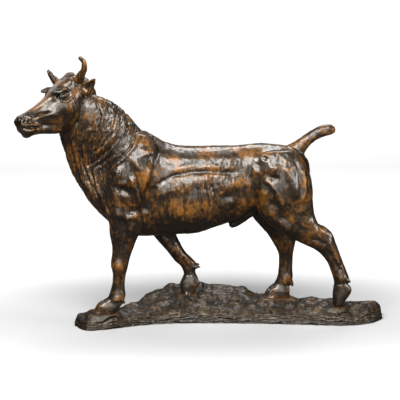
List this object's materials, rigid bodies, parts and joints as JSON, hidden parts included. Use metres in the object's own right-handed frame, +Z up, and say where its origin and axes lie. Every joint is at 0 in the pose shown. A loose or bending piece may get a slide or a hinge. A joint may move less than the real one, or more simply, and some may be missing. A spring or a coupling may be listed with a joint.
{
  "type": "bronze bull statue",
  "caption": "Table-size bronze statue of a walking bull, head turned to one side and tail raised, cast with its uneven ground base.",
  "frame": {"origin": "in the base's flat underside, below the middle of the bull's barrel", "axes": "+X towards the tail (the bull faces -X), +Y towards the bull's right flank, away from the side its head turns to, +Z up"},
  "size_m": [0.547, 0.1621, 0.3979],
  "materials": {
    "bronze_figure": "dark brown patinated bronze, waxed, with amber where it is rubbed",
    "bronze_base": "dark brown patinated bronze, duller and rougher round the rim"
  },
  "bodies": {
    "root": {"bull": "bronze_figure", "ground_base": "bronze_base"}
  },
  "joints": []
}
